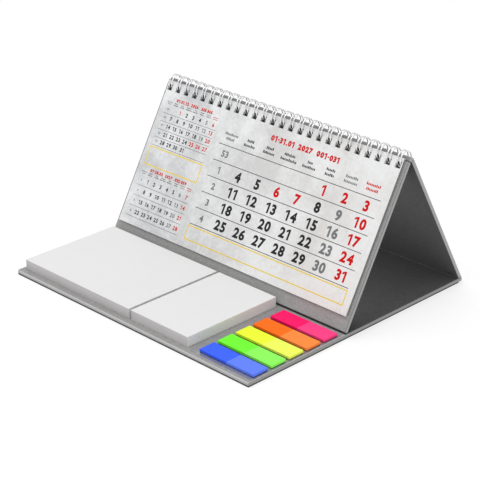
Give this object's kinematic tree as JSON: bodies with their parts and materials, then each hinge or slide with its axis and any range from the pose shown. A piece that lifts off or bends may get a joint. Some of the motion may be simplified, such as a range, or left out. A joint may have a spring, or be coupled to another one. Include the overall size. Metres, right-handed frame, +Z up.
{
  "type": "triptych desk calendar",
  "caption": "Wrapped-board desk calendar that stands as a tent, with wire-bound month leaves, plain note pads and coloured index flags on its base.",
  "frame": {"origin": "middle of the footprint, on the surface that the base rests on", "axes": "+X to the viewer's right along the wire binding, +Y from the front edge of the base to its rear hinge, +Z up"},
  "size_m": [0.21, 0.1952, 0.1045],
  "materials": {
    "cover": "mid grey wrapped covering, satin",
    "board": "grey board",
    "lining": "charcoal lining, matt",
    "leaf": "white uncoated, matt",
    "note": "white, matt",
    "wire": "white, satin",
    "carrier": "clear film, gloss",
    "blue_flag": "translucent film, satin",
    "green_flag": "translucent film, satin",
    "yellow_flag": "translucent film, satin",
    "orange_flag": "translucent film, satin",
    "pink_flag": "translucent film, satin"
  },
  "bodies": {
    "base": {"base_cover": "cover", "base_board": "board", "base_front_sheet": "cover", "base_lining": "lining", "rear_hinge_strip": "cover", "large_note_pad": "note", "small_note_pad": "note", "flag_carrier": "carrier", "blue_flag_pad": "blue_flag", "green_flag_pad": "green_flag", "yellow_flag_pad": "yellow_flag", "orange_flag_pad": "orange_flag", "pink_flag_pad": "pink_flag"},
    "rear_panel": {"rear_cover": "cover", "rear_board": "board", "rear_lining": "lining", "spine_strip": "cover"},
    "front_panel": {"front_cover": "cover", "front_board": "board", "front_lining": "lining", "binding_wire": "wire"},
    "leaf_01": {"leaf_01": "leaf"},
    "leaf_02": {"leaf_02": "leaf"},
    "leaf_03": {"leaf_03": "leaf"},
    "leaf_04": {"leaf_04": "leaf"},
    "leaf_05": {"leaf_05": "leaf"},
    "leaf_06": {"leaf_06": "leaf"},
    "leaf_07": {"leaf_07": "leaf"},
    "leaf_08": {"leaf_08": "leaf"},
    "leaf_09": {"leaf_09": "leaf"},
    "leaf_10": {"leaf_10": "leaf"},
    "leaf_11": {"leaf_11": "leaf"},
    "leaf_12": {"leaf_12": "leaf"},
    "large_note": {"large_note_top_sheet": "note"},
    "small_note": {"small_note_top_sheet": "note"},
    "blue_flag": {"blue_top_flag": "blue_flag"},
    "green_flag": {"green_top_flag": "green_flag"},
    "yellow_flag": {"yellow_top_flag": "yellow_flag"},
    "orange_flag": {"orange_top_flag": "orange_flag"},
    "pink_flag": {"pink_top_flag": "pink_flag"}
  },
  "joints": [
    {"name": "rear_panel_fold", "type": "hinge", "parent": "base", "child": "rear_panel", "pos_m": [0, 0.0962, 0.0016], "axis": [-1, 0, 0], "range_deg": [0, 117]},
    {"name": "front_panel_fold", "type": "hinge", "parent": "rear_panel", "child": "front_panel", "pos_m": [0, 0.03998, 0.098], "axis": [1, 0, 0], "range_deg": [0, 40.95]},
    {"name": "leaf_01_turn", "type": "hinge", "parent": "front_panel", "child": "leaf_01", "pos_m": [0, 0.03969, 0.09903], "axis": [-1, 0, 0], "range_deg": [0, 150]},
    {"name": "leaf_02_turn", "type": "hinge", "parent": "front_panel", "child": "leaf_02", "pos_m": [0, 0.03969, 0.09903], "axis": [-1, 0, 0], "range_deg": [0, 137.5]},
    {"name": "leaf_03_turn", "type": "hinge", "parent": "front_panel", "child": "leaf_03", "pos_m": [0, 0.03969, 0.09903], "axis": [-1, 0, 0], "range_deg": [0, 125]},
    {"name": "leaf_04_turn", "type": "hinge", "parent": "front_panel", "child": "leaf_04", "pos_m": [0, 0.03969, 0.09903], "axis": [-1, 0, 0], "range_deg": [0, 112.5]},
    {"name": "leaf_05_turn", "type": "hinge", "parent": "front_panel", "child": "leaf_05", "pos_m": [0, 0.03969, 0.09903], "axis": [-1, 0, 0], "range_deg": [0, 100]},
    {"name": "leaf_06_turn", "type": "hinge", "parent": "front_panel", "child": "leaf_06", "pos_m": [0, 0.03969, 0.09903], "axis": [-1, 0, 0], "range_deg": [0, 87.5]},
    {"name": "leaf_07_turn", "type": "hinge", "parent": "front_panel", "child": "leaf_07", "pos_m": [0, 0.03969, 0.09903], "axis": [-1, 0, 0], "range_deg": [0, 75]},
    {"name": "leaf_08_turn", "type": "hinge", "parent": "front_panel", "child": "leaf_08", "pos_m": [0, 0.03969, 0.09903], "axis": [-1, 0, 0], "range_deg": [0, 62.51]},
    {"name": "leaf_09_turn", "type": "hinge", "parent": "front_panel", "child": "leaf_09", "pos_m": [0, 0.03969, 0.09903], "axis": [-1, 0, 0], "range_deg": [0, 49.99]},
    {"name": "leaf_10_turn", "type": "hinge", "parent": "front_panel", "child": "leaf_10", "pos_m": [0, 0.03969, 0.09903], "axis": [-1, 0, 0], "range_deg": [0, 37.5]},
    {"name": "leaf_11_turn", "type": "hinge", "parent": "front_panel", "child": "leaf_11", "pos_m": [0, 0.03969, 0.09903], "axis": [-1, 0, 0], "range_deg": [0, 25]},
    {"name": "leaf_12_turn", "type": "hinge", "parent": "front_panel", "child": "leaf_12", "pos_m": [0, 0.03969, 0.09903], "axis": [-1, 0, 0], "range_deg": [0, 12.49]},
    {"name": "large_note_peel", "type": "hinge", "parent": "base", "child": "large_note", "pos_m": [-0.0522, -0.0176, 0.00965], "axis": [-1, 0, 0], "range_deg": [0, 100]},
    {"name": "small_note_peel", "type": "hinge", "parent": "base", "child": "small_note", "pos_m": [0.0249, -0.0176, 0.00965], "axis": [-1, 0, 0], "range_deg": [0, 100]},
    {"name": "blue_flag_peel", "type": "hinge", "parent": "base", "child": "blue_flag", "pos_m": [0.1035, -0.0862, 0.0054], "axis": [0, 1, 0], "range_deg": [0, 100]},
    {"name": "green_flag_peel", "type": "hinge", "parent": "base", "child": "green_flag", "pos_m": [0.1035, -0.07134, 0.0054], "axis": [0, 1, 0], "range_deg": [0, 100]},
    {"name": "yellow_flag_peel", "type": "hinge", "parent": "base", "child": "yellow_flag", "pos_m": [0.1035, -0.05648, 0.0054], "axis": [0, 1, 0], "range_deg": [0, 100]},
    {"name": "orange_flag_peel", "type": "hinge", "parent": "base", "child": "orange_flag", "pos_m": [0.1035, -0.04162, 0.0054], "axis": [0, 1, 0], "range_deg": [0, 100]},
    {"name": "pink_flag_peel", "type": "hinge", "parent": "base", "child": "pink_flag", "pos_m": [0.1035, -0.02676, 0.0054], "axis": [0, 1, 0], "range_deg": [0, 100]}
  ],
  "couplings": [
    {"joint": "front_panel_fold", "follows": "rear_panel_fold", "ratio": 0.35},
    {"joint": "leaf_02_turn", "follows": "leaf_01_turn", "ratio": 0.9167},
    {"joint": "leaf_03_turn", "follows": "leaf_01_turn", "ratio": 0.8333},
    {"joint": "leaf_04_turn", "follows": "leaf_01_turn", "ratio": 0.75},
    {"joint": "leaf_05_turn", "follows": "leaf_01_turn", "ratio": 0.6667},
    {"joint": "leaf_06_turn", "follows": "leaf_01_turn", "ratio": 0.5833},
    {"joint": "leaf_07_turn", "follows": "leaf_01_turn", "ratio": 0.5},
    {"joint": "leaf_08_turn", "follows": "leaf_01_turn", "ratio": 0.4167},
    {"joint": "leaf_09_turn", "follows": "leaf_01_turn", "ratio": 0.3333},
    {"joint": "leaf_10_turn", "follows": "leaf_01_turn", "ratio": 0.25},
    {"joint": "leaf_11_turn", "follows": "leaf_01_turn", "ratio": 0.1667},
    {"joint": "leaf_12_turn", "follows": "leaf_01_turn", "ratio": 0.0833}
  ]
}
